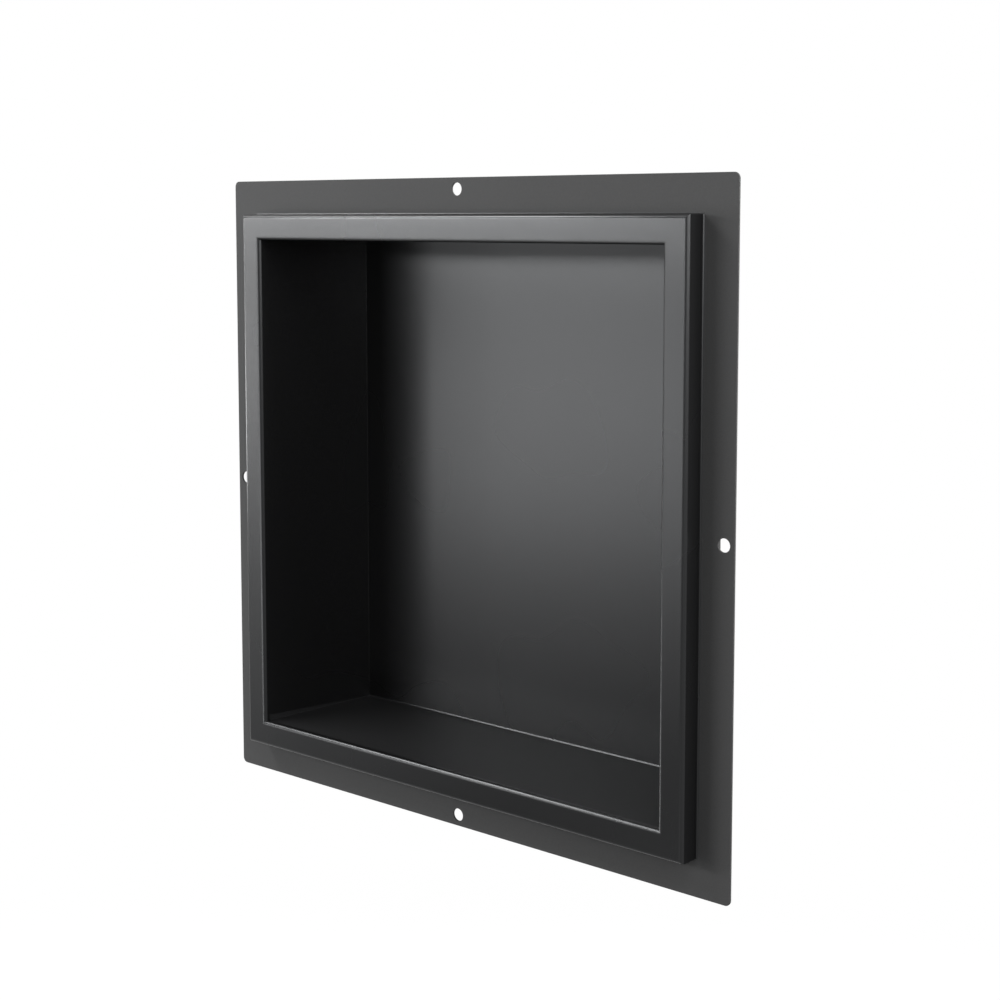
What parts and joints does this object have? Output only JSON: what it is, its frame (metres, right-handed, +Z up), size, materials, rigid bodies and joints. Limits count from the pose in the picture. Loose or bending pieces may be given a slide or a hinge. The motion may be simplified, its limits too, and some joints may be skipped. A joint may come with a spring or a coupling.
{
  "type": "shower niche insert",
  "caption": "Square recessed shower shelf folded from one black-coated metal sheet, with a raised rim round the opening and a drilled screw flange behind it.",
  "frame": {"origin": "middle of the four screw holes, on the back face of the flange, which is the face that lies against the wall", "axes": "+Z up, +X to the right as seen from the room, +Y into the wall, so the opening faces -Y"},
  "size_m": [0.378, 0.0792, 0.378],
  "materials": {
    "black_coat": "satin black powder coat on stainless steel sheet"
  },
  "bodies": {
    "root": {"niche_body": "black_coat"}
  },
  "joints": []
}
